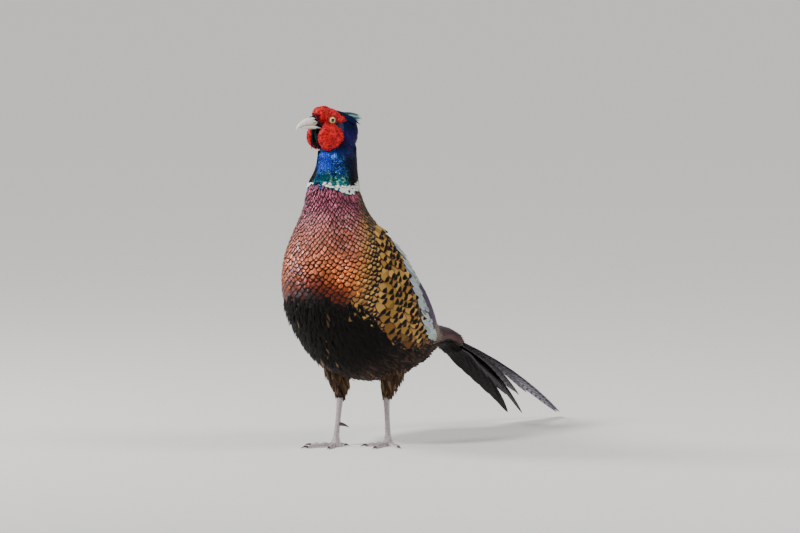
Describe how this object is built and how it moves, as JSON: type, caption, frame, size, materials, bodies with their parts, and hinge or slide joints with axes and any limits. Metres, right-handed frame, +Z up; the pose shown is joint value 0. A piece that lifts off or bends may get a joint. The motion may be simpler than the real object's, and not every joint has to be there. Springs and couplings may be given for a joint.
{
  "type": "common pheasant",
  "caption": "Cock common pheasant standing alert with its head turned, wings folded and long tail lowered: a still, life-size display model.",
  "frame": {"origin": "centre of the bounding box's underside, on the floor under the bird", "axes": "+Z up, -Y the way the breast faces, +X the bird's left"},
  "size_m": [0.1834, 0.6482, 0.4986],
  "materials": {
    "bill": "ivory horn",
    "claw": "dark horn",
    "collar": "white feathers",
    "ear_tuft": "green-black feather horns",
    "eye": "wet pale yellow iris and black pupil",
    "head": "dark iridescent feathers",
    "neck": "blue-green iridescent feathers",
    "rump": "maroon hair-like feathers",
    "shank": "scaled grey skin",
    "spur": "dark horn",
    "tail": "long barred brown feathers",
    "thigh": "dark brown feathers",
    "toe": "scaled grey skin",
    "torso": "copper feathers with dark edges and spots",
    "wattle": "scarlet granular bare skin",
    "wing": "grey and brown flight feathers and coverts"
  },
  "bodies": {
    "root": {"bill_lower": "bill", "bill_upper": "bill", "claw_left_hind": "claw", "claw_left_inner": "claw", "claw_left_middle": "claw", "claw_left_outer": "claw", "claw_right_hind": "claw", "claw_right_inner": "claw", "claw_right_middle": "claw", "claw_right_outer": "claw", "collar": "collar", "ear_tuft_left": "ear_tuft", "ear_tuft_right": "ear_tuft", "eye_left": "eye", "eye_right": "eye", "head": "head", "neck": "neck", "rump": "rump", "shank_left": "shank", "shank_right": "shank", "spur_left": "spur", "spur_right": "spur", "tail": "tail", "thigh_left": "thigh", "thigh_right": "thigh", "toe_left_hind": "toe", "toe_left_inner": "toe", "toe_left_middle": "toe", "toe_left_outer": "toe", "toe_right_hind": "toe", "toe_right_inner": "toe", "toe_right_middle": "toe", "toe_right_outer": "toe", "torso": "torso", "wattle_left": "wattle", "wattle_right": "wattle", "wing_left": "wing", "wing_right": "wing"}
  },
  "joints": []
}
